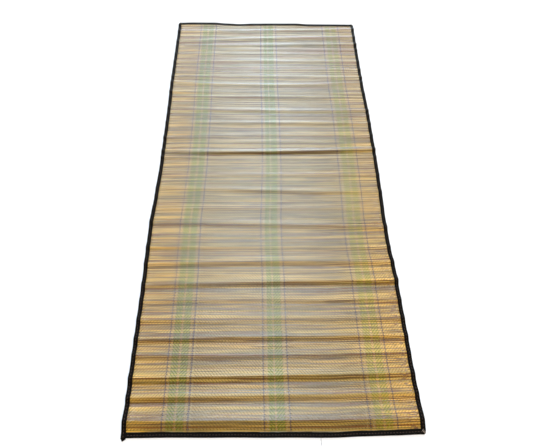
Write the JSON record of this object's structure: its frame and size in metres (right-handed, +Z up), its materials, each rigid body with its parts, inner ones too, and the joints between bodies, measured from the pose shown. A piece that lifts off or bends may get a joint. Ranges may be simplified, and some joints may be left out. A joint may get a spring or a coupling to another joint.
{
  "type": "woven reed floor mat",
  "caption": "Thin floor mat woven from reeds that run across it, edged with folded black tape, lying on a floor with soft ripples across it from being rolled.",
  "frame": {"origin": "on the floor, in the middle of the mat's outline", "axes": "+Y along the mat towards its far end, +X across it along the reeds, +Z up from the floor"},
  "size_m": [0.9084, 1.8301, 0.0114],
  "materials": {
    "reed_weave": "dry reeds with a soft natural gloss, dyed green bands and dashed blue warp lines",
    "edge_tape": "black woven tape with a slight sheen",
    "sewing_thread": "matt dark sewing thread"
  },
  "bodies": {
    "root": {"woven_panel": "reed_weave", "tape_left": "edge_tape", "tape_right": "edge_tape", "tape_far": "edge_tape", "tape_near": "edge_tape", "loose_thread": "sewing_thread"}
  },
  "joints": []
}
